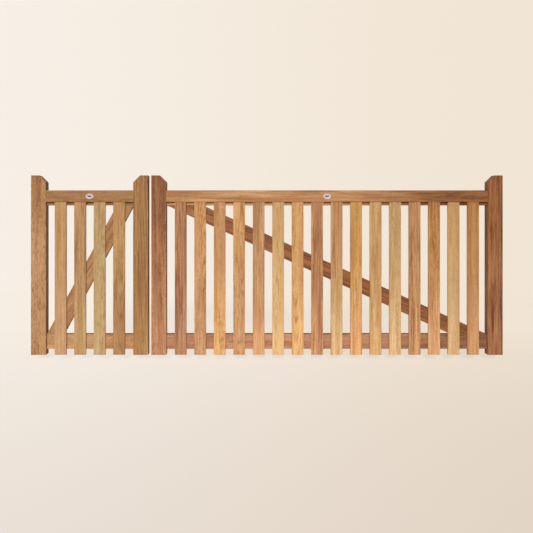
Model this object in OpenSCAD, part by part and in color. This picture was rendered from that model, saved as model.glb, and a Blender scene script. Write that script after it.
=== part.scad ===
// Split driveway gate: a narrow and a wide leaf of hardwood palisade, each hung on two hook-and-band hinges.
// Each leaf has two stiles, two rails tenoned through them, a diagonal brace and a row of flat pales.
// Origin: centre of the mounting face of the lower left hook plate. +X runs along the gate towards the
// wide leaf, the leaves' show side faces -Y and +Z is up. The posts' faces are the planes at each end in X.

/* [Leaves] */
// Width of the narrow leaf, hung on the left
left_leaf_w = 900; // [760:10:1200]
// Width of the wide leaf, hung on the right
right_leaf_w = 2700; // [2200:10:3300]
// Height of the stiles, from their feet
gate_h = 1380; // [1100:10:1800]
// Gap between the two leaves where they meet
meeting_gap = 24; // [15:1:30]
// Gap between each hanging stile and its post
hanging_gap = 12; // [10:1:15]

/* [Frame] */
// Face width of a stile
stile_w = 115; // [95:1:140]
// Thickness of a stile and of the top rail
stile_t = 70; // [60:1:95]
// Size of the 45 degree bevel on a stile's inner top corner
stile_bevel = 52; // [20:1:60]
// Height of a stile's horn above the top rail
horn_h = 115; // [70:1:150]
// Height of the top rail
top_rail_h = 115; // [95:1:150]
// Height of the rebate that houses the pales' heads under the top rail's front lip
rebate_h = 25; // [15:1:40]
// Height of the bottom rail
bottom_rail_h = 115; // [95:1:150]
// Height of the bottom rail's underside above the stiles' feet
bottom_rail_lift = 42; // [20:1:80]
// Face width of the diagonal brace
brace_w = 115; // [70:1:140]
// Thickness of the bottom rail and the brace, which lie flush with the back
back_t = 45; // [35:1:50]
// Thickness of a rail's tenon
tenon_t = 22; // [16:1:28]
// Shoulder above and below a tenon
tenon_shoulder = 12; // [8:1:20]

/* [Pales] */
// Width of a pale
pale_w = 90; // [70:1:110]
// Thickness of a pale
pale_t = 20; // [15:1:25]
// Gap between a stile and the pale beside it
pale_end_gap = 65; // [30:1:80]
// Number of pales in the narrow leaf
left_pales = 4; // [3:1:5]
// Number of pales in the wide leaf
right_pales = 16; // [12:1:18]

/* [Badge] */
// Width of the blank oval badge on each top rail
badge_w = 60; // [40:1:80]
// Height of the badge
badge_h = 42; // [30:1:60]
// Thickness of the badge
badge_t = 2; // [1:0.5:4]

/* [Hinges] */
// Diameter of the bar that is bent to make the hinge pin
pin_d = 16; // [14:1:20]
// Radial clearance between the pin and the band's eye
pin_clearance = 0.3; // [0.2:0.05:0.5]
// Distance from the post's face to the pin's axis
pin_reach = 28; // [27:1:40]
// Bend radius of the bar, to its centre line
bend_r = 14; // [12:1:16]
// Height of the pin's end above the band's eye
pin_stand = 6; // [4:1:15]
// Thickness of a band, and of the wall of its rolled eye
band_t = 6; // [5:0.5:8]
// Height of a band and of its eye
band_h = 50; // [40:1:60]
// Gap between the rolled eye and the back of the leaf
eye_gap = 1; // [1:0.5:4]
// Length of a band on the narrow leaf, from the pin
left_band_l = 450; // [300:10:600]
// Length of a band on the wide leaf, from the pin
right_band_l = 600; // [400:10:900]
// Height of the collar that carries a band
collar_t = 5; // [4:1:8]
// How far the collar stands out from the pin
collar_lip = 3.5; // [2.5:0.5:4]
// Vertical running gap between a collar and its band
collar_gap = 0.3; // [0.2:0.05:0.5]
// Width of a hook plate
plate_w = 50; // [44:1:60]
// Height of a hook plate
plate_h = 100; // [90:1:140]
// Thickness of a hook plate
plate_t = 6; // [5:0.5:8]
// Diameter of a hook plate's fixing holes
plate_hole_d = 11; // [9:0.5:12]
// Distance from a fixing hole's centre to the plate's edges
plate_hole_inset = 12; // [9:0.5:14]

/* [Hidden] */
$fn = 96;
LEFT = "left";
RIGHT = "right";
LEAVES = [LEFT, RIGHT];
SIDES = [LEFT, RIGHT];

IROKO_STRAW = "#D8AB73";
IROKO_GOLDEN = "#CF9C67";
IROKO_TAN = "#C49263";
IROKO_OLIVE = "#C09C6F";
IROKO_BROWN = "#B48657";
IROKO_REDDISH = "#AF7B57";
IROKO_UMBER = "#986645";
GALVANISED = "#A9AEB0";
WHITE_ENAMEL = "#F1EFEA";
// Tones of the pales, from the hanging stile to the meeting stile, used again in turn on a longer row
LEFT_PALE_TONES = [IROKO_TAN, IROKO_BROWN, IROKO_OLIVE, IROKO_BROWN];
RIGHT_PALE_TONES = [
    IROKO_TAN, IROKO_OLIVE, IROKO_TAN, IROKO_TAN,
    IROKO_OLIVE, IROKO_OLIVE, IROKO_GOLDEN, IROKO_STRAW,
    IROKO_REDDISH, IROKO_GOLDEN, IROKO_STRAW, IROKO_TAN,
    IROKO_TAN, IROKO_GOLDEN, IROKO_TAN, IROKO_REDDISH
];

// Across the opening, from one post's face to the other
opening_w = 2 * hanging_gap + left_leaf_w + meeting_gap + right_leaf_w;

// Rails and pales, as heights above the feet and depths behind the stiles' front faces
top_rail_z = gate_h - horn_h - top_rail_h;
bottom_rail_top = bottom_rail_lift + bottom_rail_h;
pale_top = top_rail_z + rebate_h;
seat_depth = stile_t - back_t;
brace_rise = top_rail_z - bottom_rail_top;
badge_z = pale_top + (top_rail_h - rebate_h) / 2;
badge_sides = 64;

// Hinges: the rolled eye stands just clear of the leaf, and the plate's front edge is level with its back
pin_r = pin_d / 2;
bore_r = pin_r + pin_clearance;
eye_r = bore_r + band_t;
pin_to_leaf = eye_r + eye_gap;
leaf_back_y = -plate_w / 2;
leaf_front_y = leaf_back_y - stile_t;
pin_y = leaf_back_y + pin_to_leaf;
pin_chamfer = 2;
// A band's centre line above the feet, and its lower edge above the hook plate's centre
lower_band_z = bottom_rail_lift + bottom_rail_h / 2;
upper_band_z = top_rail_z + top_rail_h / 2;
eye_z = bend_r + collar_t + collar_gap;
// The feet's height in the gate's own frame
foot_z = band_h / 2 + eye_z - lower_band_z;

function leaf_w(leaf) = leaf == LEFT ? left_leaf_w : right_leaf_w;
function clear_w(leaf) = leaf_w(leaf) - 2 * stile_w;
function pale_count(leaf) = leaf == LEFT ? left_pales : right_pales;
function pale_pitch(leaf) = (clear_w(leaf) - 2 * pale_end_gap - pale_w) / (pale_count(leaf) - 1);
function band_l(leaf) = leaf == LEFT ? left_band_l : right_band_l;
function pale_tones(leaf) = leaf == LEFT ? LEFT_PALE_TONES : RIGHT_PALE_TONES;
function pale_tone(leaf, i) = pale_tones(leaf)[(i - 1) % len(pale_tones(leaf))];

// Length of a brace's level end cut: the brace runs from corner to corner of the opening between the
// stiles and rails, and is brace_w wide square to its own length.
function brace_end(run, rise, w) =
    w * (rise * sqrt(run * run + rise * rise - w * w) - w * run) / (rise * rise - w * w);

function ellipse(w, h, sides) =
    [for (k = [0 : sides - 1]) [w / 2 * cos(360 * k / sides), h / 2 * sin(360 * k / sides)]];

// Puts a piece drawn on a left post's face onto the post at that side.
module at_post(side) {
    if (side == LEFT) children();
    else translate([opening_w, 0, 0]) mirror([1, 0, 0]) children();
}

// Puts a piece drawn from the outer corner of a hanging stile's foot, at its front face, into that leaf.
module in_leaf(leaf) {
    at_post(leaf) translate([hanging_gap, leaf_front_y, foot_z]) children();
}

// A flat outline in X and Z, made depth thick backwards from its own front face.
module board_outline(points, depth) {
    translate([0, depth, 0]) rotate([90, 0, 0]) linear_extrude(depth) polygon(points);
}

// A rail's tenons: one bar as long as the leaf is wide, which comes out flush through both stiles.
module tenon_bar(leaf, rail_z, rail_h) {
    translate([0, seat_depth + (back_t - tenon_t) / 2, rail_z + tenon_shoulder])
        cube([leaf_w(leaf), tenon_t, rail_h - 2 * tenon_shoulder]);
}

module rail_tenons(leaf) {
    tenon_bar(leaf, top_rail_z, top_rail_h);
    tenon_bar(leaf, bottom_rail_lift, bottom_rail_h);
}

// A stile's timber, with its inner top corner bevelled.
module stile() {
    board_outline([
        [0, 0], [stile_w, 0], [stile_w, gate_h - stile_bevel],
        [stile_w - stile_bevel, gate_h], [0, gate_h]
    ], stile_t);
}

// Each stile has a mortise right through it for each rail.
module hanging_stile(leaf) {
    color(leaf == LEFT ? IROKO_BROWN : IROKO_UMBER) in_leaf(leaf) difference() {
        stile();
        rail_tenons(leaf);
    }
}

module meeting_stile(leaf) {
    color(leaf == LEFT ? IROKO_BROWN : IROKO_REDDISH) in_leaf(leaf) difference() {
        translate([leaf_w(leaf), 0, 0]) mirror([1, 0, 0]) stile();
        rail_tenons(leaf);
    }
}

// The top rail is as thick as the stiles, with a rebate along its lower front edge for the pales' heads.
module top_rail(leaf) {
    section = [
        [0, rebate_h], [seat_depth, rebate_h], [seat_depth, 0],
        [stile_t, 0], [stile_t, top_rail_h], [0, top_rail_h]
    ];
    color(leaf == LEFT ? IROKO_BROWN : IROKO_TAN) in_leaf(leaf) {
        translate([stile_w, 0, top_rail_z]) rotate([90, 0, 90]) linear_extrude(clear_w(leaf)) polygon(section);
        tenon_bar(leaf, top_rail_z, top_rail_h);
    }
}

// The bottom rail is thinner and flush with the back, so that the pales pass in front of it.
module bottom_rail(leaf) {
    color(leaf == LEFT ? IROKO_TAN : IROKO_REDDISH) in_leaf(leaf) {
        translate([stile_w, seat_depth, bottom_rail_lift]) cube([clear_w(leaf), back_t, bottom_rail_h]);
        tenon_bar(leaf, bottom_rail_lift, bottom_rail_h);
    }
}

// The brace stands on the bottom rail against the hanging stile and rises to the meeting stile's top
// corner, cut level at both ends.
module brace(leaf) {
    end_l = brace_end(clear_w(leaf), brace_rise, brace_w);
    foot_x = stile_w;
    head_x = leaf_w(leaf) - stile_w;
    color(leaf == LEFT ? IROKO_BROWN : IROKO_UMBER) in_leaf(leaf) translate([0, seat_depth, 0]) board_outline([
        [foot_x, bottom_rail_top], [foot_x + end_l, bottom_rail_top],
        [head_x, top_rail_z], [head_x - end_l, top_rail_z]
    ], back_t);
}

// A pale, counted from the hanging stile, from the feet's level up to the top rail's front lip.
module pale(leaf, i) {
    x = stile_w + pale_end_gap + (i - 1) * pale_pitch(leaf);
    color(pale_tone(leaf, i)) in_leaf(leaf)
        translate([x, seat_depth - pale_t, 0]) cube([pale_w, pale_t, pale_top]);
}

// A blank oval badge on the middle of the top rail's front lip.
module badge(leaf) {
    color(WHITE_ENAMEL) in_leaf(leaf) translate([leaf_w(leaf) / 2, -badge_t, badge_z])
        board_outline(ellipse(badge_w, badge_h, badge_sides), badge_t);
}

// A hinge band: a flat strap on the leaf's back with a round end, rolled into an eye around the pin.
module band(leaf, band_z) {
    pin_x = pin_reach - hanging_gap;
    end_x = pin_x + band_l(leaf) - band_h / 2;
    color(GALVANISED) in_leaf(leaf) translate([0, stile_t, band_z]) difference() {
        union() {
            translate([pin_x, 0, -band_h / 2]) cube([end_x - pin_x, band_t, band_h]);
            translate([end_x, band_t, 0]) rotate([90, 0, 0]) cylinder(r = band_h / 2, h = band_t);
            translate([pin_x, pin_to_leaf, -band_h / 2]) cylinder(r = eye_r, h = band_h);
        }
        translate([pin_x, pin_to_leaf, -band_h]) cylinder(r = bore_r, h = 2 * band_h);
    }
}

// A hook plate: a drilled plate with a round bar that leaves it level, bends upwards and becomes the pin.
module hook_plate() {
    hole_y = plate_w / 2 - plate_hole_inset;
    hole_z = plate_h / 2 - plate_hole_inset;
    difference() {
        translate([0, -plate_w / 2, -plate_h / 2]) cube([plate_t, plate_w, plate_h]);
        for (y = [-hole_y, hole_y], z = [-hole_z, hole_z])
            translate([-plate_t, y, z]) rotate([0, 90, 0]) cylinder(d = plate_hole_d, h = 3 * plate_t);
    }
}

module pin_bar() {
    pin_top = eye_z + band_h + pin_stand;
    translate([0, pin_y, 0]) {
        translate([plate_t, 0, 0]) rotate([0, 90, 0]) cylinder(r = pin_r, h = pin_reach - bend_r - plate_t);
        translate([pin_reach - bend_r, 0, bend_r]) rotate([90, 0, 0]) rotate([0, 0, -90])
            rotate_extrude(angle = 90) translate([bend_r, 0]) circle(r = pin_r);
        translate([pin_reach, 0, bend_r]) {
            cylinder(r = pin_r + collar_lip, h = collar_t);
            cylinder(r = pin_r, h = pin_top - bend_r - pin_chamfer);
        }
        translate([pin_reach, 0, pin_top - pin_chamfer])
            cylinder(r1 = pin_r, r2 = pin_r - pin_chamfer, h = pin_chamfer);
    }
}

module hook(side, band_z) {
    color(GALVANISED) at_post(side) translate([0, 0, band_z - lower_band_z]) {
        hook_plate();
        pin_bar();
    }
}

module lower_hook(side) {
    hook(side, lower_band_z);
}

module upper_hook(side) {
    hook(side, upper_band_z);
}

module lower_band(leaf) {
    band(leaf, lower_band_z);
}

module upper_band(leaf) {
    band(leaf, upper_band_z);
}

for (side = SIDES) {
    lower_hook(side);
    upper_hook(side);
}
for (leaf = LEAVES) {
    hanging_stile(leaf);
    meeting_stile(leaf);
    top_rail(leaf);
    bottom_rail(leaf);
    brace(leaf);
    lower_band(leaf);
    upper_band(leaf);
    badge(leaf);
    for (i = [1 : pale_count(leaf)])
        pale(leaf, i);
}
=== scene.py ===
import math
import random

import bmesh
import bpy
from mathutils import Matrix, Vector


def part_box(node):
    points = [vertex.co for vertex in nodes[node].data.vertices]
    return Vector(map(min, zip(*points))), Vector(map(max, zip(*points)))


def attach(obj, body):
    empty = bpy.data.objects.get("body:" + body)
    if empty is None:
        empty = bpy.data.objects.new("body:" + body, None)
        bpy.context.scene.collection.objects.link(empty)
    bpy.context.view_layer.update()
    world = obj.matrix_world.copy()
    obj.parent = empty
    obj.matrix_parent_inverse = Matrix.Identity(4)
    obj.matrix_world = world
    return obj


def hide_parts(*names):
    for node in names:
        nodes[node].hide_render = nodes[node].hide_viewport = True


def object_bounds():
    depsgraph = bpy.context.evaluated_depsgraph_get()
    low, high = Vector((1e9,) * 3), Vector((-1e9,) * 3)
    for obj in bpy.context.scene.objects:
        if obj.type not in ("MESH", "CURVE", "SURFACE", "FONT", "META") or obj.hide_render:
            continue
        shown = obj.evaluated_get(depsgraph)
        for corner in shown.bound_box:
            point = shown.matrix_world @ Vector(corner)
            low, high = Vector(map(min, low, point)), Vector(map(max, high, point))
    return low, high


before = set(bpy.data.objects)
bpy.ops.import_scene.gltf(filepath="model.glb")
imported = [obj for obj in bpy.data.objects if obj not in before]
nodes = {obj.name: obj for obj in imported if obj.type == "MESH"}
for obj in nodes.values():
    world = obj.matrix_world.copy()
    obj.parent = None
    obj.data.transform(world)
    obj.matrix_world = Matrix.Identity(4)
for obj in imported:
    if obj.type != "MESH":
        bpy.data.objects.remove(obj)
cad_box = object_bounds()
scene = bpy.context.scene


# The camera. It stands square to the show side, a little left of the middle of the pair and three
# quarters of the way up the leaves, and its lens is shifted so that the pair fills the frame.
# Here and below, lengths are in metres unless a name ends in MM.
VIEW_W = 4.094
CAMERA_DISTANCE = 5.0
SENSOR_MM = 36.0
CAMERA_UP = 1.058
AIM_UP = 0.680
CAMERA_LEFT = 0.165
AIM_LEFT = 0.003

foot_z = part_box("left_hanging_stile")[0].z
front_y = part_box("left_hanging_stile")[0].y
middle_x = (cad_box[0].x + cad_box[1].x) / 2
camera_data = bpy.data.cameras.new("camera")
camera_data.sensor_width = SENSOR_MM
camera_data.lens = SENSOR_MM * CAMERA_DISTANCE / VIEW_W
camera_data.shift_x = (CAMERA_LEFT - AIM_LEFT) / VIEW_W
camera_data.shift_y = (AIM_UP - CAMERA_UP) / VIEW_W
camera = bpy.data.objects.new("camera", camera_data)
camera.location = (middle_x - CAMERA_LEFT, front_y - CAMERA_DISTANCE, foot_z + CAMERA_UP)
camera.rotation_euler = (math.pi / 2, 0, 0)
scene.collection.objects.link(camera)
scene.camera = camera


# The lights. A soft key light stands in front, almost square on and about 23 degrees up. Weak
# lights from the left and the right show the boards' edges, a cool strip lies along the foot of
# the leaves, and a softer light falls on their backs.
LAMP_WHITE = "#FFFCF8"
STRIP_BLUE = "#E0EEFF"
LEAF_MIDDLE_UP = 0.6
FLOOR_GAP = 0.05
# Each sun's direction from the gate, its strength, how broad it is in degrees, and whether it
# shines back off metal and enamel.
SUNS = {
    "key_light": (Vector((-0.25, -4.5, 1.9)), 2.53, 12, True),
    "left_light": (Vector((-4.0, -1.6, 0.6)), 0.45, 20, False),
    "right_light": (Vector((4.5, -0.4, 0.9)), 0.16, 20, False),
    "back_light": (Vector((-1.0, 4.6, 1.6)), 2.2, 25, False),
}
STRIP_POWER = 6.2
STRIP_LENGTH = 2.7
STRIP_WIDTH = 0.1
STRIP_RIGHT = 0.35
STRIP_AWAY = 0.42
STRIP_UP = 0.02
STRIP_AIM = Vector((0, 1, 0.6))


def linear(hex_colour):
    """An sRGB hex colour as linear red, green, blue and alpha."""
    parts = [int(hex_colour[i:i + 2], 16) / 255 for i in (1, 3, 5)]
    return [c / 12.92 if c <= 0.04045 else ((c + 0.055) / 1.055) ** 2.4 for c in parts] + [1.0]


def lamp(name, kind, place, target, energy, colour, gloss, **settings):
    """A lamp that the camera never sees. gloss says whether it shines back off metal and enamel."""
    light = bpy.data.lights.new(name, kind)
    light.energy = energy
    light.color = linear(colour)[:3]
    for setting, value in settings.items():
        setattr(light, setting, value)
    holder = bpy.data.objects.new(name, light)
    holder.location = place
    holder.rotation_euler = (Vector(target) - Vector(place)).to_track_quat("-Z", "Y").to_euler()
    holder.visible_camera = False
    holder.visible_glossy = gloss
    scene.collection.objects.link(holder)


gate_middle = Vector((middle_x, front_y, foot_z + LEAF_MIDDLE_UP))
floor_z = foot_z - FLOOR_GAP
for name, (away, energy, spread, gloss) in SUNS.items():
    lamp(name, "SUN", gate_middle + away, gate_middle, energy, LAMP_WHITE, gloss,
         angle=math.radians(spread))
strip_place = Vector((middle_x + STRIP_RIGHT, front_y - STRIP_AWAY, floor_z + STRIP_UP))
lamp("foot_strip", "AREA", strip_place, strip_place + STRIP_AIM, STRIP_POWER, STRIP_BLUE, False,
     shape="RECTANGLE", size=STRIP_LENGTH, size_y=STRIP_WIDTH)


# The backdrop: seamless cream paper, with painted light and shade that make it paler on the left
# and darker on the right. It is seen at its own colours, both straight and in anything shiny, and
# it lights the gate only faintly.
CREAM = "#F4E9DC"
# Painted light and shade: the paper's colour on its paler left and its darker right.
LEFT_CREAM = "#F7EFE5"
RIGHT_CREAM = "#F1E5D5"
SIDE_SLOPE = 0.37
FILL_STRENGTH = 0.11


def add_node(tree, kind, links=None, **settings):
    """Adds a node of that kind. links maps an input to a socket to join or to a value to set."""
    made = tree.nodes.new(kind)
    for name, value in settings.items():
        setattr(made, name, value)
    for name, value in (links or {}).items():
        if isinstance(value, bpy.types.NodeSocket):
            tree.links.new(value, made.inputs[name])
        else:
            made.inputs[name].default_value = value
    return made


scene.view_settings.view_transform = "Standard"
scene.world = bpy.data.worlds.new("studio")
scene.world.use_nodes = True
sky = scene.world.node_tree
sky.nodes.clear()
rays = add_node(sky, "ShaderNodeLightPath").outputs
seen = add_node(sky, "ShaderNodeMath", {
    0: rays["Is Camera Ray"], 1: rays["Is Glossy Ray"]}, operation="MAXIMUM").outputs[0]
seen = add_node(sky, "ShaderNodeMath", {
    0: seen, 1: rays["Is Transmission Ray"]}, operation="MAXIMUM").outputs[0]
# Painted light and shade: the glow grows darker from left to right.
direction = add_node(sky, "ShaderNodeTexCoord").outputs["Generated"]
sideways = add_node(sky, "ShaderNodeSeparateXYZ", {0: direction}).outputs["X"]
side = add_node(sky, "ShaderNodeMapRange", {
    "Value": sideways, "From Min": -SIDE_SLOPE, "From Max": SIDE_SLOPE},
    interpolation_type="SMOOTHSTEP").outputs[0]
tint = add_node(sky, "ShaderNodeMix", {
    0: side, 6: linear(LEFT_CREAM), 7: linear(RIGHT_CREAM)}, data_type="RGBA").outputs[2]
backdrop = add_node(sky, "ShaderNodeBackground", {"Color": tint, "Strength": 1.0}).outputs[0]
fill = add_node(sky, "ShaderNodeBackground", {
    "Color": linear(CREAM), "Strength": FILL_STRENGTH}).outputs[0]
shown = add_node(sky, "ShaderNodeMixShader", {0: seen, 1: fill, 2: backdrop}).outputs[0]
add_node(sky, "ShaderNodeOutputWorld", {"Surface": shown})


# The floor: the same matt paper brought forward under the leaves. It glows at the backdrop's own
# colours, darkened with painted shade towards the front and the right, and thins out to nothing
# further off, so that no horizon shows. Behind the leaves a share of it is lit paper, which takes
# their shadow, and its grey throws a little light back up at them.
# The painted shade of the floor's glow near the front, on the left and on the right.
NEAR_LEFT_SHADE_CREAM = "#EBE1D8"
NEAR_RIGHT_SHADE_CREAM = "#DECEBD"
BOUNCE_GREY = "#BBB4AB"
SHADOW_DEPTH = 0.20
FLOOR_SIZE = 40.0
FAR_Y = 1.5
NEAR_Y = -3.2
SIDE_X = 2.0
SHADOW_BLEND = 0.1
PAPER_FROM = 4.5
PAPER_TO = 9.0

paper = bpy.data.materials.new("matt_paper_floor")
paper.use_nodes = True
tree = paper.node_tree
tree.nodes.clear()
rays = add_node(tree, "ShaderNodeLightPath").outputs
seen = add_node(tree, "ShaderNodeMath", {
    0: rays["Is Camera Ray"], 1: rays["Is Glossy Ray"]}, operation="MAXIMUM").outputs[0]
spot = add_node(tree, "ShaderNodeTexCoord").outputs["Object"]
from_gate = add_node(tree, "ShaderNodeVectorMath", {
    0: spot, 1: (middle_x, front_y, floor_z)}, operation="SUBTRACT").outputs[0]
place = add_node(tree, "ShaderNodeSeparateXYZ", {0: from_gate}).outputs
# Painted shade: the floor's glow darkens towards the front and the right.
near = add_node(tree, "ShaderNodeMapRange", {
    "Value": place["Y"], "From Min": FAR_Y, "From Max": NEAR_Y}).outputs[0]
side = add_node(tree, "ShaderNodeMapRange", {
    "Value": place["X"], "From Min": -SIDE_X, "From Max": SIDE_X},
    interpolation_type="SMOOTHSTEP").outputs[0]
left_tint = add_node(tree, "ShaderNodeMix", {
    0: near, 6: linear(LEFT_CREAM), 7: linear(NEAR_LEFT_SHADE_CREAM)}, data_type="RGBA").outputs[2]
right_tint = add_node(tree, "ShaderNodeMix", {
    0: near, 6: linear(RIGHT_CREAM), 7: linear(NEAR_RIGHT_SHADE_CREAM)}, data_type="RGBA").outputs[2]
tint = add_node(tree, "ShaderNodeMix", {
    0: side, 6: left_tint, 7: right_tint}, data_type="RGBA").outputs[2]
bounce = add_node(tree, "ShaderNodeBsdfDiffuse", {"Color": linear(BOUNCE_GREY)}).outputs[0]
floor_light = FILL_STRENGTH + sum(
    energy * away.normalized().z / math.pi for away, energy, *rest in SUNS.values())
catch = add_node(tree, "ShaderNodeVectorMath", {
    0: tint, "Scale": SHADOW_DEPTH / floor_light}, operation="SCALE").outputs[0]
shadowed = add_node(tree, "ShaderNodeBsdfDiffuse", {"Color": catch}).outputs[0]
even = add_node(tree, "ShaderNodeEmission", {
    "Color": tint, "Strength": 1 - SHADOW_DEPTH}).outputs[0]
lit = add_node(tree, "ShaderNodeAddShader", {0: shadowed, 1: even}).outputs[0]
clean = add_node(tree, "ShaderNodeEmission", {"Color": tint, "Strength": 1.0}).outputs[0]
behind = add_node(tree, "ShaderNodeMapRange", {
    "Value": place["Y"], "From Min": -SHADOW_BLEND, "From Max": SHADOW_BLEND},
    interpolation_type="SMOOTHSTEP").outputs[0]
both = add_node(tree, "ShaderNodeMixShader", {0: behind, 1: clean, 2: lit}).outputs[0]
reach = add_node(tree, "ShaderNodeVectorMath", {0: from_gate}, operation="LENGTH").outputs["Value"]
far = add_node(tree, "ShaderNodeMapRange", {
    "Value": reach, "From Min": PAPER_FROM, "From Max": PAPER_TO},
    interpolation_type="SMOOTHSTEP").outputs[0]
nothing = add_node(tree, "ShaderNodeBsdfTransparent").outputs[0]
both = add_node(tree, "ShaderNodeMixShader", {0: far, 1: both, 2: nothing}).outputs[0]
surface = add_node(tree, "ShaderNodeMixShader", {0: seen, 1: bounce, 2: both}).outputs[0]
add_node(tree, "ShaderNodeOutputMaterial", {"Surface": surface})

floor_mesh = bpy.data.meshes.new("floor")
half = FLOOR_SIZE / 2
corners = ((-half, -half), (half, -half), (half, half), (-half, half))
floor_mesh.from_pydata([(middle_x + x, y, floor_z) for x, y in corners], [], [(0, 1, 2, 3)])
floor_mesh.materials.append(paper)
floor = bpy.data.objects.new("floor", floor_mesh)
scene.collection.objects.link(floor)


# The stiles: the uprights at each leaf's two ends, planed from iroko, mortised for the rails and
# with a bevelled horn above the top one. The outer stile carries the hinges and the inner one
# meets the other leaf. No two boards match in tone, and some change tone along their length.
STILE_LOOKS = {
    "left_hanging_stile": {"tone": "brown", "figure": "rippled", "fade": ("nutmeg", 0.0, 0.9)},
    "left_meeting_stile": {"tone": "nutmeg", "figure": "striped"},
    "right_meeting_stile": {"tone": "reddish", "figure": "plain", "fade": ("umber", -0.7, 0.7)},
    "right_hanging_stile": {"tone": "umber", "figure": "striped", "fade": ("russet", -0.3, 0.3)},
}
TENON_T = 0.022
ARRIS_MM = 2.5
MARGIN = 0.0005
SHARP_ANGLE = math.radians(30)
FLAT_ANGLE = math.radians(1)
WELD_GAP = 0.00001

# Each tone's late wood, body, early wood and blush. The later sections add their own tones.
IROKO_TONES = {
    "brown": ("#8C5F3A", "#B88A5D", "#CCA075", "#A6714E"),
    "nutmeg": ("#7A502F", "#A57A4A", "#BC905C", "#96643D"),
    "reddish": ("#7F4D36", "#B38056", "#CB966C", "#96604A"),
    "umber": ("#65371E", "#96623D", "#B07B54", "#7A4833"),
    "russet": ("#57301A", "#905A30", "#A87046", "#70402A"),
}
# How strongly each kind of mark shows in a figure. Striped boards are sawn on the quarter, flamed
# and feathered ones on the flat. Tilt is how far, in degrees, the fibres lean out of the face.
FIGURES = {
    "plain": {"bands": 0.8, "ribbons": 0.8, "ripples": 0.65, "rings": 0.18,
              "streaks": 0.1, "blush": 0.5, "tilt": 1.5},
    "striped": {"bands": 0.7, "ribbons": 1.4, "ripples": 0.4, "rings": 0.18,
                "streaks": 0.2, "blush": 0.5, "tilt": 0.8},
    "rippled": {"bands": 0.9, "ribbons": 0.7, "ripples": 1.2, "rings": 0.15,
                "streaks": 0.1, "blush": 0.4, "tilt": 1.5},
    "flamed": {"bands": 0.9, "ribbons": 0.7, "ripples": 0.8, "rings": 0.38,
               "streaks": 0.1, "blush": 0.5, "tilt": 4.0},
    "streaked": {"bands": 1.2, "ribbons": 1.2, "ripples": 0.4, "rings": 0.22,
                 "streaks": 0.6, "blush": 0.6, "tilt": 1.5},
    "calm": {"bands": 0.5, "ribbons": 0.65, "ripples": 0.35, "rings": 0.12,
             "streaks": 0.05, "blush": 0.4, "tilt": 1.0},
    "feathered": {"bands": 0.6, "ribbons": 0.6, "ripples": 0.5, "rings": 0.3,
                  "streaks": 0.05, "blush": 0.5, "tilt": 3.0},
}
# Each mark's width across the grain in millimetres, how many times longer it is along it, and the
# noise's detail and distortion. Real fibres and pores are about a fifth of a millimetre wide and
# growth rings 3 to 8 mm, which is too fine to show, so all three are drawn coarser.
GRAIN_MARKS = {
    "wander": (110.0, 7, 2, 0.0),
    "bands": (42.0, 18, 1, 0.0),
    "ribbons": (13.0, 30, 3, 0.0),
    "ripples": (15.0, 2.6, 2, 0.8),
    "streaks": (17.0, 22, 2, 0.0),
    "blushes": (60.0, 9, 1, 0.0),
    "fibres": (1.4, 35, 2, 0.0),
    "pores": (0.7, 30, 0, 0.0),
}
RING_MM = 11.0
# Each board is cut at its own small angle, and at its own place in the log from the pith.
CUT_ANGLE = 1.0
PITH_SIDE = 0.05
PITH_DEPTH = (0.02, 0.09)
PITH_ALONG = 9
RING_WANDER = 0.07
RING_CREST = 2.0
RING_LIFT = 0.3
FIBRE_SHADE = 0.5
PORE_SHADE = 0.5
PORE_SINK = -1.2
# The dark brown of the painted shade on faces that point up.
TOP_SHADE_BROWN = "#38251A"


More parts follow.
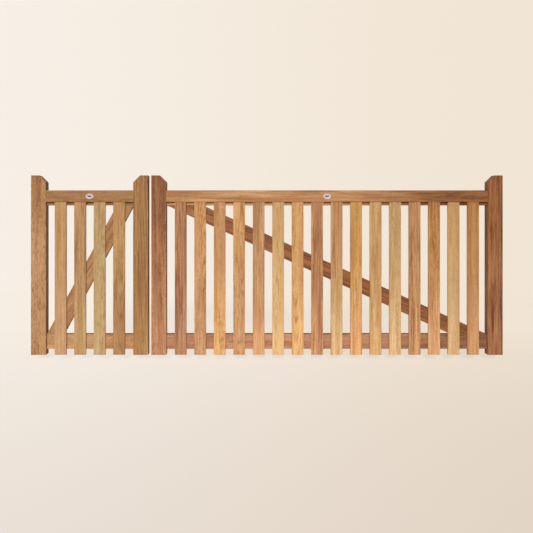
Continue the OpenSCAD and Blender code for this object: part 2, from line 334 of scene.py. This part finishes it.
def iroko(name, tone, figure, grain, centre, fade=None):
    """Iroko, planed and wiped with oil: golden to reddish brown with a low sheen. Its interlocked
    fibres give long soft ribbons and ripples, its open pores fine dark dashes, and whatever faces up
    is darkened with painted shade. grain is the board's turn from upright about Y, in radians. fade
    is another tone and the two places along the board between which it takes over."""
    own = random.Random(name)
    strength = FIGURES[figure]
    material = bpy.data.materials.new(name)
    material.use_nodes = True
    tree = material.node_tree
    tree.nodes.clear()

    # The board's own axes, with its grain along Z, and then the same from the tree's pith.
    place = add_node(tree, "ShaderNodeTexCoord").outputs["Object"]
    tilt = math.radians(own.choice((-strength["tilt"], strength["tilt"])))
    lean = (tilt, grain + math.radians(own.uniform(-CUT_ANGLE, CUT_ANGLE)), 0)
    board = add_node(tree, "ShaderNodeMapping", {
        "Vector": place, "Location": centre, "Rotation": lean}, vector_type="TEXTURE").outputs[0]
    away = (own.uniform(-PITH_SIDE, PITH_SIDE), own.uniform(*PITH_DEPTH),
            own.uniform(-PITH_ALONG, PITH_ALONG))
    pith = add_node(tree, "ShaderNodeVectorMath", {0: board, 1: away}, operation="ADD").outputs[0]

    def marks(kind):
        """One kind of mark, as noise drawn out along the grain."""
        width_mm, length, detail, distortion = GRAIN_MARKS[kind]
        stretched = add_node(tree, "ShaderNodeVectorMath", {
            0: pith, 1: (1, 1, 1 / length)}, operation="MULTIPLY").outputs[0]
        return add_node(tree, "ShaderNodeTexNoise", {
            "Vector": stretched, "Scale": 1000 / width_mm, "Detail": detail,
            "Distortion": distortion}).outputs["Fac"]

    # The growth rings. Each is one there-and-back of the distance from the pith, dark at its crest.
    across = add_node(tree, "ShaderNodeVectorMath", {
        0: pith, 1: (1, 1, 0)}, operation="MULTIPLY").outputs[0]
    radius = add_node(tree, "ShaderNodeVectorMath", {0: across}, operation="LENGTH").outputs["Value"]
    bent = add_node(tree, "ShaderNodeMath", {
        0: marks("wander"), 1: RING_WANDER, 2: radius}, operation="MULTIPLY_ADD").outputs[0]
    turns = add_node(tree, "ShaderNodeMath", {
        0: bent, 1: 2000 / RING_MM}, operation="MULTIPLY").outputs[0]
    ring = add_node(tree, "ShaderNodeMath", {0: turns, 1: 1.0}, operation="PINGPONG").outputs[0]
    late = add_node(tree, "ShaderNodeMath", {0: ring, 1: RING_CREST}, operation="POWER").outputs[0]
    fibres = marks("fibres")
    shade = add_node(tree, "ShaderNodeMath", {
        0: late, 1: -strength["rings"], 2: 0.5 + RING_LIFT * strength["rings"]},
        operation="MULTIPLY_ADD").outputs[0]
    for noise, amount in (
            (marks("bands"), strength["bands"]), (marks("ribbons"), strength["ribbons"]),
            (marks("ripples"), strength["ripples"]), (fibres, FIBRE_SHADE)):
        level = add_node(tree, "ShaderNodeMath", {0: noise, 1: 0.5}, operation="SUBTRACT").outputs[0]
        shade = add_node(tree, "ShaderNodeMath", {
            0: level, 1: amount, 2: shade}, operation="MULTIPLY_ADD").outputs[0]
    streak = add_node(tree, "ShaderNodeMapRange", {
        "Value": marks("streaks"), "From Min": 0.55, "From Max": 0.72,
        "To Max": strength["streaks"]}, interpolation_type="SMOOTHSTEP").outputs[0]
    drift = add_node(tree, "ShaderNodeMapRange", {
        "Value": marks("blushes"), "From Min": 0.42, "From Max": 0.68,
        "To Max": strength["blush"]}, interpolation_type="SMOOTHSTEP").outputs[0]

    def toned(tone_name):
        """The timber's colours in one tone."""
        dark, middle, light, blush = (linear(colour) for colour in IROKO_TONES[tone_name])
        ramp = add_node(tree, "ShaderNodeValToRGB", {"Fac": shade})
        ramp.color_ramp.elements[0].position = 0.15
        ramp.color_ramp.elements[0].color = dark
        ramp.color_ramp.elements[1].position = 0.85
        ramp.color_ramp.elements[1].color = light
        ramp.color_ramp.elements.new(0.5).color = middle
        warm = add_node(tree, "ShaderNodeMix", {
            0: drift, 6: ramp.outputs[0], 7: blush}, data_type="RGBA").outputs[2]
        return add_node(tree, "ShaderNodeMix", {
            0: streak, 6: warm, 7: dark}, data_type="RGBA").outputs[2]

    timber = toned(tone)
    if fade:
        other, start, end = fade
        along = add_node(tree, "ShaderNodeSeparateXYZ", {0: board}).outputs["Z"]
        turned = add_node(tree, "ShaderNodeMapRange", {
            "Value": along, "From Min": start, "From Max": end},
            interpolation_type="SMOOTHSTEP").outputs[0]
        timber = add_node(tree, "ShaderNodeMix", {
            0: turned, 6: timber, 7: toned(other)}, data_type="RGBA").outputs[2]
    pores = add_node(tree, "ShaderNodeMapRange", {
        "Value": marks("pores"), "From Min": 0.62, "From Max": 0.73, "To Max": 0.42}).outputs[0]
    pore_colour = [c * PORE_SHADE for c in linear(IROKO_TONES[tone][0])[:3]] + [1]
    pored = add_node(tree, "ShaderNodeMix", {
        0: pores, 6: timber, 7: pore_colour}, data_type="RGBA").outputs[2]
    # Painted shade: whatever faces up is darkened towards a dark brown.
    normal = add_node(tree, "ShaderNodeNewGeometry").outputs["Normal"]
    upward = add_node(tree, "ShaderNodeSeparateXYZ", {0: normal}).outputs["Z"]
    top_shade = add_node(tree, "ShaderNodeMapRange", {
        "Value": upward, "From Min": 0.6, "From Max": 0.9, "To Max": 0.8}).outputs[0]
    top_shaded = add_node(tree, "ShaderNodeMix", {
        0: top_shade, 6: pored, 7: linear(TOP_SHADE_BROWN)}, data_type="RGBA").outputs[2]
    sunk = add_node(tree, "ShaderNodeMath", {
        0: pores, 1: PORE_SINK, 2: fibres}, operation="MULTIPLY_ADD").outputs[0]
    relief = add_node(tree, "ShaderNodeBump", {
        "Height": sunk, "Strength": 0.4, "Distance": 0.0004}).outputs[0]
    sheen = add_node(tree, "ShaderNodeMapRange", {
        "Value": fibres, "To Min": 0.6, "To Max": 0.78}).outputs[0]
    finish = add_node(tree, "ShaderNodeBsdfPrincipled", {
        "Base Color": top_shaded, "Roughness": sheen, "IOR": 1.47, "Specular IOR Level": 0.3,
        "Normal": relief}).outputs[0]
    add_node(tree, "ShaderNodeOutputMaterial", {"Surface": finish})
    return material


def planed_board(node, tone, figure="plain", grain=0.0, fade=None):
    """Gives a board its own piece of timber."""
    board = nodes[node]
    low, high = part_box(node)
    board.data.materials.clear()
    board.data.materials.append(
        iroko(f"iroko_{node}", tone, figure, grain, (low + high) / 2, fade))
    return board


def ease_arrises(piece, axis, middle, reach, within, width_mm=ARRIS_MM):
    """Rounds the sharp edges whose midpoints lie within reach of middle along an axis, or, where
    within is false, beyond it. The piece's flat faces are made whole first, so that only its real
    edges are rounded."""
    piece.modifiers.new("join", "WELD").merge_threshold = WELD_GAP
    flat = piece.modifiers.new("flat", "DECIMATE")
    flat.decimate_type = "DISSOLVE"
    flat.angle_limit = FLAT_ANGLE
    tree = bpy.data.node_groups.new(f"arrises_{piece.name}", "GeometryNodeTree")
    tree.interface.new_socket(name="Geometry", in_out="INPUT", socket_type="NodeSocketGeometry")
    tree.interface.new_socket(name="Geometry", in_out="OUTPUT", socket_type="NodeSocketGeometry")
    given = add_node(tree, "NodeGroupInput").outputs[0]
    given = add_node(tree, "GeometryNodeRemoveAttribute", {
        "Geometry": given, "Name": "custom_normal"}).outputs[0]
    angle = add_node(tree, "GeometryNodeInputMeshEdgeAngle").outputs["Unsigned Angle"]
    sharp = add_node(tree, "ShaderNodeMath", {
        0: angle, 1: SHARP_ANGLE}, operation="GREATER_THAN").outputs[0]
    place = add_node(tree, "GeometryNodeInputPosition").outputs[0]
    along = add_node(tree, "ShaderNodeSeparateXYZ", {0: place}).outputs[axis]
    offset = add_node(tree, "ShaderNodeMath", {
        0: along, 1: middle}, operation="SUBTRACT").outputs[0]
    offset = add_node(tree, "ShaderNodeMath", {0: offset}, operation="ABSOLUTE").outputs[0]
    chosen = add_node(tree, "ShaderNodeMath", {
        0: offset, 1: reach}, operation="LESS_THAN" if within else "GREATER_THAN").outputs[0]
    weight = add_node(tree, "ShaderNodeMath", {
        0: sharp, 1: chosen}, operation="MULTIPLY").outputs[0]
    crisp = add_node(tree, "ShaderNodeMath", {
        0: sharp, 1: weight}, operation="SUBTRACT").outputs[0]
    stored = add_node(tree, "GeometryNodeStoreNamedAttribute", {
        "Geometry": given, "Name": "bevel_weight_edge", "Value": weight},
        data_type="FLOAT", domain="EDGE").outputs[0]
    smooth = add_node(tree, "GeometryNodeSetShadeSmooth", {"Geometry": stored}).outputs[0]
    creased = add_node(tree, "GeometryNodeSetShadeSmooth", {
        "Geometry": smooth, "Selection": crisp, "Shade Smooth": False}, domain="EDGE").outputs[0]
    add_node(tree, "NodeGroupOutput", {0: creased})
    piece.modifiers.new("arrises", "NODES").node_group = tree
    eased = piece.modifiers.new("eased", "BEVEL")
    eased.width = width_mm / 1000
    eased.segments = 3
    eased.limit_method = "WEIGHT"
    eased.harden_normals = True


# The rails' tenons come right through the stiles, so the edges of the mortises stay crisp.
back_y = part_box("left_hanging_stile")[1].y
tenon_y = (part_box("left_bottom_rail")[0].y + back_y) / 2
for node, looks in STILE_LOOKS.items():
    stile = planed_board(node, **looks)
    ease_arrises(stile, "Y", tenon_y, TENON_T / 2 + MARGIN, within=False)


# The rails: planed iroko boards across the top and the foot of each leaf, tenoned right through
# the stiles, so that the tenons' ends show in the stiles' edges. Only the length between the
# shoulders has its arrises eased.
IROKO_TONES |= {
    "fawn": ("#815731", "#AC8254", "#C1976D", "#9D6B48"),
    "wheat": ("#A67F57", "#CDA074", "#DDB68A", "#BD9068"),
    "tan": ("#996A3F", "#C18F5F", "#D4A677", "#B27653"),
    "pink": ("#85563E", "#AB7A58", "#BF8E6D", "#9C664E"),
    "sepia": ("#4E2F22", "#84583A", "#9C6C4C", "#63412D"),
}
RAIL_LOOKS = {
    "left_top_rail": {"tone": "fawn", "figure": "plain"},
    "left_bottom_rail": {"tone": "wheat", "figure": "plain", "fade": ("tan", -0.05, 0.2)},
    "right_top_rail": {"tone": "tan", "figure": "streaked", "fade": ("russet", -0.1, 1.1)},
    "right_bottom_rail": {"tone": "pink", "figure": "plain", "fade": ("sepia", 0.15, 1.15)},
}
for node, looks in RAIL_LOOKS.items():
    rail = planed_board(node, grain=math.pi / 2, **looks)
    leaf = node.split("_")[0]
    low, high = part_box(f"{leaf}_brace")
    ease_arrises(rail, "X", (low.x + high.x) / 2, (high.x - low.x) / 2 - MARGIN, within=True)


# The braces: planed iroko boards that hold the leaves up, from the foot of each hanging stile to
# the far top corner. They are cut level at both ends, where they bear on the rails, and those cuts
# stay crisp.
IROKO_TONES["sienna"] = ("#6E3F24", "#A46C44", "#BC865E", "#855238")
BRACE_LOOKS = {
    "left": {"tone": "brown", "figure": "plain"},
    "right": {"tone": "russet", "figure": "striped", "fade": ("sienna", 0.2, 0.8)},
}
for leaf, looks in BRACE_LOOKS.items():
    low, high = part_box(f"{leaf}_brace")
    side = 1 if leaf == "left" else -1
    lean = side * math.atan2(high.x - low.x, high.z - low.z)
    brace = planed_board(f"{leaf}_brace", grain=lean, **looks)
    ease_arrises(brace, "Z", (low.z + high.z) / 2, (high.z - low.z) / 2 - MARGIN, within=True)


# The pales: upright iroko slats on the show side, with their heads in the top rail's rebate,
# screwed to the rails and the brace from behind. They are counted from the hanging stile, and each
# has its tone, its figure and, where its head differs, the head's tone.
IROKO_TONES |= {
    "straw": ("#AC834B", "#CFA873", "#DEBB8A", "#C79661"),
    "golden": ("#A6723F", "#CE9C64", "#DDB07C", "#C07F54"),
    "amber": ("#A1692F", "#C69654", "#D7AA67", "#B97A49"),
    "honey": ("#9A7040", "#C19762", "#D3AD7A", "#B27F53"),
    "olive": ("#A0794C", "#C69F70", "#D7B488", "#B78F58"),
    "flax": ("#9C7A52", "#C3A372", "#D3B28A", "#B5915F"),
    "chestnut": ("#84523A", "#B98856", "#CF9E6C", "#9E684C"),
    "ginger": ("#824E26", "#B47E47", "#CB965C", "#9C6038"),
    "cocoa": ("#784B35", "#A67652", "#BC8B67", "#925F46"),
}
PALE_LOOKS = {
    "left": [
        ("wheat", "calm", "honey"), ("olive", "striped", "brown"),
        ("flax", "plain"), ("fawn", "feathered", "honey"),
    ],
    "right": [
        ("tan", "calm", "ginger"), ("olive", "calm", "honey"),
        ("tan", "plain", "ginger"), ("chestnut", "striped"),
        ("olive", "plain"), ("honey", "striped"),
        ("golden", "plain", "amber"), ("olive", "striped", "tan"),
        ("chestnut", "streaked"), ("golden", "feathered"),
        ("straw", "feathered"), ("tan", "striped", "brown"),
        ("brown", "flamed", "golden"), ("golden", "plain", "tan"),
        ("brown", "flamed", "golden"), ("cocoa", "streaked", "reddish"),
    ],
}
PALE_FADE = (-0.3, 0.3)
for leaf, looks in PALE_LOOKS.items():
    for number, (tone, figure, *head) in enumerate(looks, 1):
        node = f"{leaf}_pale_{number}"
        low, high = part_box(node)
        pale = planed_board(node, tone, figure, fade=(*head, *PALE_FADE) if head else None)
        ease_arrises(pale, "Z", low.z, (high.z - low.z) - MARGIN, within=True)


# The badges: pressed oval plates in white vitreous enamel, each with a rolled rim, a slightly
# crowned face and a plain plum-coloured lozenge, held to its top rail by two small domed pins.
ENAMEL_WHITE = "#D3CDCF"
ENAMEL_SHADE = "#BFB6BA"
ENAMEL_PLUM = "#6B3552"
ENAMEL_PLUM_SHADE = "#4A2238"
ENAMEL_PEEL_MM = 2.5
ENAMEL_CLOUD_MM = 11.0
# The plate's section from the back of the rim in to the middle, as shares of its half width and
# of its rise.
BADGE_PROFILE = (
    (1.0, 0.0), (1.0, 0.5), (0.985, 0.85), (0.955, 1.0), (0.92, 0.9), (0.895, 0.55),
    (0.86, 0.42), (0.6, 0.6), (0.3, 0.68), (0.02, 0.7))
BADGE_SIDES = 64
LOZENGE_W = 0.036
LOZENGE_H = 0.0115
LOZENGE_RISE = 0.0003
LOZENGE_POWER = 1.15
LOZENGE_CROWN = (0.94, 1.3)
PIN_R = 0.002
PIN_OUT = 0.72
PIN_DOME = 0.3
PIN_LIFTS = (0, 0.5, 1.0, 1.5)
PIN_SIDES = 16
ENAMEL_SINK = 0.0002


def enamel(name, colour, shade):
    """Vitreous enamel: glass fired on steel, hard and glossy, with a faint orange peel and
    slight clouds in its colour."""
    material = bpy.data.materials.new(name)
    material.use_nodes = True
    tree = material.node_tree
    tree.nodes.clear()
    place = add_node(tree, "ShaderNodeTexCoord").outputs["Object"]
    peel = add_node(tree, "ShaderNodeTexNoise", {
        "Vector": place, "Scale": 1000 / ENAMEL_PEEL_MM, "Detail": 1.0}).outputs["Fac"]
    clouds = add_node(tree, "ShaderNodeTexNoise", {
        "Vector": place, "Scale": 1000 / ENAMEL_CLOUD_MM, "Detail": 3.0}).outputs["Fac"]
    tint = add_node(tree, "ShaderNodeMix", {
        0: clouds, 6: linear(colour), 7: linear(shade)}, data_type="RGBA").outputs[2]
    relief = add_node(tree, "ShaderNodeBump", {
        "Height": peel, "Strength": 0.15, "Distance": 0.0002}).outputs[0]
    finish = add_node(tree, "ShaderNodeBsdfPrincipled", {
        "Base Color": tint, "Roughness": 0.28, "IOR": 1.52, "Normal": relief}).outputs[0]
    add_node(tree, "ShaderNodeOutputMaterial", {"Surface": finish})
    return material


def oval(centre, half_w, half_h, out, sides):
    """Points round an upright oval. out is how far beyond centre it lies along Y."""
    turns = [2 * math.pi * i / sides for i in range(sides)]
    return [centre + Vector((half_w * math.cos(t), out, half_h * math.sin(t))) for t in turns]


def lozenge(centre, size, y):
    """Points round an upright lozenge with rounded sides, at y along Y."""
    points = []
    for i in range(BADGE_SIDES):
        t = 2 * math.pi * i / BADGE_SIDES
        x = math.copysign(abs(math.cos(t)) ** LOZENGE_POWER, math.cos(t))
        z = math.copysign(abs(math.sin(t)) ** LOZENGE_POWER, math.sin(t))
        points.append(Vector((
            centre.x + x * LOZENGE_W / 2 * size, y, centre.z + z * LOZENGE_H / 2 * size)))
    return points


def skin(mesh, rings):
    """Joins rings of as many points each into a skin and closes the last one."""
    loops = [[mesh.verts.new(point) for point in ring] for ring in rings]
    for lower, upper in zip(loops, loops[1:]):
        for i in range(len(lower)):
            j = (i + 1) % len(lower)
            mesh.faces.new((lower[i], lower[j], upper[j], upper[i]))
    mesh.faces.new(loops[-1])


def new_piece(name, mesh, materials, body):
    """Makes an object from a bmesh, smooth except at its sharp edges, and fixes it to a body."""
    data = bpy.data.meshes.new(name)
    bmesh.ops.recalc_face_normals(mesh, faces=mesh.faces)
    for edge in mesh.edges:
        edge.smooth = len(edge.link_faces) < 2 or edge.calc_face_angle() < SHARP_ANGLE
    for face in mesh.faces:
        face.smooth = True
    mesh.to_mesh(data)
    mesh.free()
    for material in materials:
        data.materials.append(material)
    piece = bpy.data.objects.new(name, data)
    scene.collection.objects.link(piece)
    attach(piece, body)
    return piece


white_enamel = enamel("vitreous_enamel_white", ENAMEL_WHITE, ENAMEL_SHADE)
plum_enamel = enamel("vitreous_enamel_plum", ENAMEL_PLUM, ENAMEL_PLUM_SHADE)
for leaf in ("left", "right"):
    low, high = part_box(f"{leaf}_badge")
    half = (high - low) / 2
    rise = 2 * half.y
    middle = Vector(((low.x + high.x) / 2, high.y, (low.z + high.z) / 2))
    mesh = bmesh.new()
    skin(mesh, [oval(middle, half.x * inward, half.z * inward, -rise * up, BADGE_SIDES)
                for inward, up in BADGE_PROFILE])
    crown = middle.y - rise * BADGE_PROFILE[-1][1]
    plate_faces = len(mesh.faces)
    shrink, swell = LOZENGE_CROWN
    skin(mesh, [
        lozenge(middle, 1.0, crown + ENAMEL_SINK), lozenge(middle, 1.0, crown - LOZENGE_RISE),
        lozenge(middle, shrink, crown - LOZENGE_RISE * swell)])
    mesh.faces.ensure_lookup_table()
    for face in mesh.faces[plate_faces:]:
        face.material_index = 1
    for side in (-1, 1):
        pin = Vector((middle.x + side * half.x * PIN_OUT, crown, middle.z))
        skin(mesh, [
            oval(pin, PIN_R * math.cos(lift), PIN_R * math.cos(lift),
                 ENAMEL_SINK - PIN_R * PIN_DOME * math.sin(lift), PIN_SIDES) for lift in PIN_LIFTS])
    badge = new_piece(f"{leaf}_enamel_badge", mesh, [white_enamel, plum_enamel],
                      f"{leaf}_leaf")
    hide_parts(f"{leaf}_badge")


# The hinge bands: flat steel bars, each rolled into an eye round its pin and rounded at the far
# end, hot-dip galvanised and laid along the back of a rail. The zinc softens every sharp edge.
ZINC_DULL = "#8F9495"
ZINC_BRIGHT = "#B2B6B7"
SPANGLE_MM = 6.0
SPANGLE_EDGE_MM = 3.0
SPANGLE_SHIFT_MM = 4.0
ZINC_CLOUD_MM = 40.0
ZINC_GRIT_MM = 0.8
SPANGLE_SHARE = 0.3
ZINC_CLOUD_SHARE = 0.7
STEEL_ARRIS_MM = 0.8


def galvanised(name):
    """Hot-dip zinc: a soft grey metal frozen in flat ragged crystals about six millimetres across,
    some duller than others, with a fine grit."""
    material = bpy.data.materials.new(name)
    material.use_nodes = True
    tree = material.node_tree
    tree.nodes.clear()
    place = add_node(tree, "ShaderNodeTexCoord").outputs["Object"]
    ragged = add_node(tree, "ShaderNodeTexNoise", {
        "Vector": place, "Scale": 1000 / SPANGLE_EDGE_MM, "Detail": 2.0}).outputs["Color"]
    shifted = add_node(tree, "ShaderNodeVectorMath", {
        0: ragged, 1: (SPANGLE_SHIFT_MM / 1000,) * 3, 2: place}, operation="MULTIPLY_ADD").outputs[0]
    crystals = add_node(tree, "ShaderNodeTexVoronoi", {
        "Vector": shifted, "Scale": 1000 / SPANGLE_MM}).outputs["Color"]
    crystal = add_node(tree, "ShaderNodeSeparateXYZ", {0: crystals}).outputs["X"]
    clouds = add_node(tree, "ShaderNodeTexNoise", {
        "Vector": place, "Scale": 1000 / ZINC_CLOUD_MM, "Detail": 3.0}).outputs["Fac"]
    level = add_node(tree, "ShaderNodeMath", {
        0: crystal, 1: SPANGLE_SHARE}, operation="MULTIPLY").outputs[0]
    level = add_node(tree, "ShaderNodeMath", {
        0: clouds, 1: ZINC_CLOUD_SHARE, 2: level}, operation="MULTIPLY_ADD").outputs[0]
    tint = add_node(tree, "ShaderNodeMix", {
        0: level, 6: linear(ZINC_DULL), 7: linear(ZINC_BRIGHT)}, data_type="RGBA").outputs[2]
    polish = add_node(tree, "ShaderNodeMapRange", {
        "Value": crystal, "To Min": 0.58, "To Max": 0.4}).outputs[0]
    grit = add_node(tree, "ShaderNodeTexNoise", {
        "Vector": place, "Scale": 1000 / ZINC_GRIT_MM, "Detail": 2.0}).outputs["Fac"]
    relief = add_node(tree, "ShaderNodeBump", {
        "Height": grit, "Strength": 0.25, "Distance": 0.0003}).outputs[0]
    finish = add_node(tree, "ShaderNodeBsdfPrincipled", {
        "Base Color": tint, "Metallic": 1.0, "Roughness": polish, "Normal": relief}).outputs[0]
    add_node(tree, "ShaderNodeOutputMaterial", {"Surface": finish})
    return material


zinc = galvanised("hot_dip_galvanised_steel")
whole_gate = (cad_box[1] - cad_box[0]).length
for leaf in ("left", "right"):
    for row in ("lower", "upper"):
        band = nodes[f"{leaf}_{row}_band"]
        band.data.materials.clear()
        band.data.materials.append(zinc)
        ease_arrises(band, "X", 0, whole_gate, within=True, width_mm=STEEL_ARRIS_MM)


# The coach screws: hot-dip galvanised, each with a chamfered hexagon head over a round washer.
# The first in each band goes into the stile and the rest into the rail. Each place is measured
# from the hinge pin, and each head has stopped at its own angle.
SCREW_PLACES = {"left": (0.062, 0.232, 0.410), "right": (0.062, 0.230, 0.395, 0.555)}
HEX_TURNS = {"left": (8, 41, 23), "right": (52, 14, 33, 4)}
BAND_T = 0.006
EYE_R = 0.0143
WASHER_R = 0.0125
WASHER_T = 0.0022
WASHER_EASE = 0.0004
WASHER_PROFILE = (
    (WASHER_R, 0), (WASHER_R, WASHER_T - WASHER_EASE), (WASHER_R - WASHER_EASE, WASHER_T))
HEX_FLATS = 0.0165
HEX_H = 0.0068
HEX_CHAMFER = 0.0010
# How far the head's corners reach at the chamfer's foot and top, as shares of half the flats.
CHAMFER_FOOT = 1.04
CHAMFER_TOP = 0.93
ROUND_SIDES = 24


def hexagon(centre, limit, turn, y):
    """Points round a hexagon head, cut back to limit at its corners, at y along Y."""
    ring = []
    for i in range(ROUND_SIDES):
        t = 2 * math.pi * i / ROUND_SIDES
        from_flat = (t + math.pi / 6) % (math.pi / 3) - math.pi / 6
        reach = min(HEX_FLATS / 2 / math.cos(from_flat), limit)
        ring.append(Vector((
            centre.x + reach * math.cos(t + turn), y, centre.z + reach * math.sin(t + turn))))
    return ring


for leaf in ("left", "right"):
    mesh = bmesh.new()
    for row in ("lower", "upper"):
        low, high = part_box(f"{leaf}_{row}_band")
        pin_x = low.x + EYE_R if leaf == "left" else high.x - EYE_R
        for place, degrees in zip(SCREW_PLACES[leaf], HEX_TURNS[leaf]):
            x = pin_x + place if leaf == "left" else pin_x - place
            centre = Vector((x, back_y + BAND_T, (low.z + high.z) / 2))
            skin(mesh, [oval(centre, r, r, up, ROUND_SIDES) for r, up in WASHER_PROFILE])
            turn = math.radians(degrees)
            base = back_y + BAND_T + WASHER_T
            corner = HEX_FLATS / math.sqrt(3)
            skin(mesh, [
                hexagon(centre, corner, turn, base),
                hexagon(centre, corner, turn, base + HEX_H - 2 * HEX_CHAMFER),
                hexagon(centre, HEX_FLATS / 2 * CHAMFER_FOOT, turn, base + HEX_H - HEX_CHAMFER),
                hexagon(centre, HEX_FLATS / 2 * CHAMFER_TOP, turn, base + HEX_H)])
    new_piece(f"{leaf}_coach_screws", mesh, [zinc], f"{leaf}_leaf")


# The hooks: a round bar bent up into the pin and welded to a drilled plate, with a welded collar
# that carries the band, all galvanised after welding. A rippled weld bead runs round the bar
# where it meets the plate, whose sizes here are the CAD's.
PLATE_T = 0.006
PLATE_H = 0.1
PIN_Y = -0.0097
BAR_R = 0.008
BEAD_R = 0.0026
BEAD_SINK = 0.0006
BEAD_RIPPLE = 0.0003
BEAD_RIPPLES = 26
BEAD_STEPS = 96
BEAD_SIDES = 10


def weld_bead(mesh, centre, axis, radius):
    """A bead round a bar, in overlapping ripples as a welder lays them."""
    spin = axis.to_track_quat("Z", "Y")
    loops = []
    for i in range(BEAD_STEPS):
        t = 2 * math.pi * i / BEAD_STEPS
        ripple = abs(math.sin(BEAD_RIPPLES * t / 2)) * BEAD_RIPPLE
        size = BEAD_R - BEAD_RIPPLE + ripple
        loop = []
        for k in range(BEAD_SIDES):
            u = 2 * math.pi * k / BEAD_SIDES
            out = radius - BEAD_SINK + size * math.cos(u)
            loop.append(mesh.verts.new(centre + spin @ Vector((
                out * math.cos(t), out * math.sin(t), size * math.sin(u)))))
        loops.append(loop)
    for i in range(BEAD_STEPS):
        here = loops[i]
        following = loops[(i + 1) % BEAD_STEPS]
        for k in range(BEAD_SIDES):
            j = (k + 1) % BEAD_SIDES
            mesh.faces.new((here[k], here[j], following[j], following[k]))


mesh = bmesh.new()
for leaf, way in (("left", 1), ("right", -1)):
    for row in ("lower", "upper"):
        hook = nodes[f"{leaf}_{row}_hook"]
        hook.data.materials.clear()
        hook.data.materials.append(zinc)
        ease_arrises(hook, "X", 0, whole_gate, within=True, width_mm=STEEL_ARRIS_MM)
        low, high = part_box(f"{leaf}_{row}_hook")
        face_x = (low.x if leaf == "left" else high.x) + way * PLATE_T
        plate_z = low.z + PLATE_H / 2
        weld_bead(mesh, Vector((face_x, PIN_Y, plate_z)), Vector((way, 0, 0)), BAR_R)
new_piece("hook_welds", mesh, [zinc], "hooks")


# The pale screws: driven from the back through the rails and the brace into each pale, with
# countersunk cross-recessed heads of bright zinc-plated steel set flush in the timber. Each pale
# has a slanted pair in the bottom rail, a level pair in the top rail and one in the brace.
HEAD_R = 0.0045
HEAD_RISE = 0.0006
HEAD_SINK = 0.0004
HEAD_EDGE = 0.0001
HEAD_SHOULDER = 0.8
RECESS_ARM = 0.0024
RECESS_HALF = 0.0006
RECESS_DEPTH = 0.0010
RECESS_TAPER = 0.7
SCREW_SPREAD = 0.052
SCREW_IN_BOTTOM = 0.024
SCREW_IN_TOP = 0.0125
SCREW_WANDER = 0.001
PLATE_BRIGHT = "#C3C8CD"
PLATE_DULL = "#A4A7A8"
TARNISH_MM = 3.0
SCUFF_MM = 0.6


def plated(name):
    """Bright zinc plate: a thin smooth bluish film, clouded where it has begun to dull and scuffed
    by the driver."""
    material = bpy.data.materials.new(name)
    material.use_nodes = True
    tree = material.node_tree
    tree.nodes.clear()
    place = add_node(tree, "ShaderNodeTexCoord").outputs["Object"]
    clouds = add_node(tree, "ShaderNodeTexNoise", {
        "Vector": place, "Scale": 1000 / TARNISH_MM, "Detail": 2.0}).outputs["Fac"]
    scuffs = add_node(tree, "ShaderNodeTexNoise", {
        "Vector": place, "Scale": 1000 / SCUFF_MM, "Detail": 1.0}).outputs["Fac"]
    tint = add_node(tree, "ShaderNodeMix", {
        0: clouds, 6: linear(PLATE_BRIGHT), 7: linear(PLATE_DULL)}, data_type="RGBA").outputs[2]
    polish = add_node(tree, "ShaderNodeMapRange", {
        "Value": clouds, "To Min": 0.28, "To Max": 0.46}).outputs[0]
    relief = add_node(tree, "ShaderNodeBump", {
        "Height": scuffs, "Strength": 0.2, "Distance": 0.0001}).outputs[0]
    finish = add_node(tree, "ShaderNodeBsdfPrincipled", {
        "Base Color": tint, "Metallic": 1.0, "Roughness": polish, "Normal": relief}).outputs[0]
    add_node(tree, "ShaderNodeOutputMaterial", {"Surface": finish})
    return material


def screw_head(mesh, centre, turn):
    """A countersunk head facing backwards, with its cross recess."""
    corners = (
        (RECESS_ARM, -RECESS_HALF), (RECESS_ARM, RECESS_HALF), (RECESS_HALF, RECESS_HALF))
    cross = [Vector(corner) @ Matrix.Rotation(-quarter * math.pi / 2, 2)
             for quarter in range(4) for corner in corners]
    rim = [point.normalized() for point in cross]
    spun = Matrix.Rotation(turn, 2)

    def ring(points, size, out):
        return [centre + Vector(((spun @ p).x * size, out, (spun @ p).y * size)) for p in points]

    skin(mesh, [
        ring(rim, HEAD_R, -HEAD_SINK), ring(rim, HEAD_R, HEAD_EDGE),
        ring(rim, HEAD_R * HEAD_SHOULDER, HEAD_RISE * HEAD_SHOULDER), ring(cross, 1.0, HEAD_RISE),
        ring(cross, RECESS_TAPER, HEAD_RISE - RECESS_DEPTH)])


zinc_plate = plated("bright_zinc_plate")
driver = random.Random("pale screws")
for leaf, looks in PALE_LOOKS.items():
    mesh = bmesh.new()
    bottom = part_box(f"{leaf}_bottom_rail")
    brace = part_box(f"{leaf}_brace")
    slope = (brace[1].z - brace[0].z) / (brace[1].x - brace[0].x)
    for number in range(1, len(looks) + 1):
        low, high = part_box(f"{leaf}_pale_{number}")
        middle = (low.x + high.x) / 2
        along = (middle - brace[0].x) if leaf == "left" else (brace[1].x - middle)
        # Each screw's height, and the side of the pale's middle that it is on.
        screws = (
            (bottom[0].z + SCREW_IN_BOTTOM, 1), (bottom[1].z - SCREW_IN_BOTTOM, -1),
            (high.z - SCREW_IN_TOP, 1), (high.z - SCREW_IN_TOP, -1),
            (brace[0].z + along * slope, 0))
        for height, way in screws:
            x = middle + way * SCREW_SPREAD / 2 + driver.uniform(-SCREW_WANDER, SCREW_WANDER)
            z = height + driver.uniform(-SCREW_WANDER, SCREW_WANDER)
            screw_head(mesh, Vector((x, back_y, z)), driver.uniform(0, math.pi))
    new_piece(f"{leaf}_pale_screws", mesh, [zinc_plate], f"{leaf}_leaf")
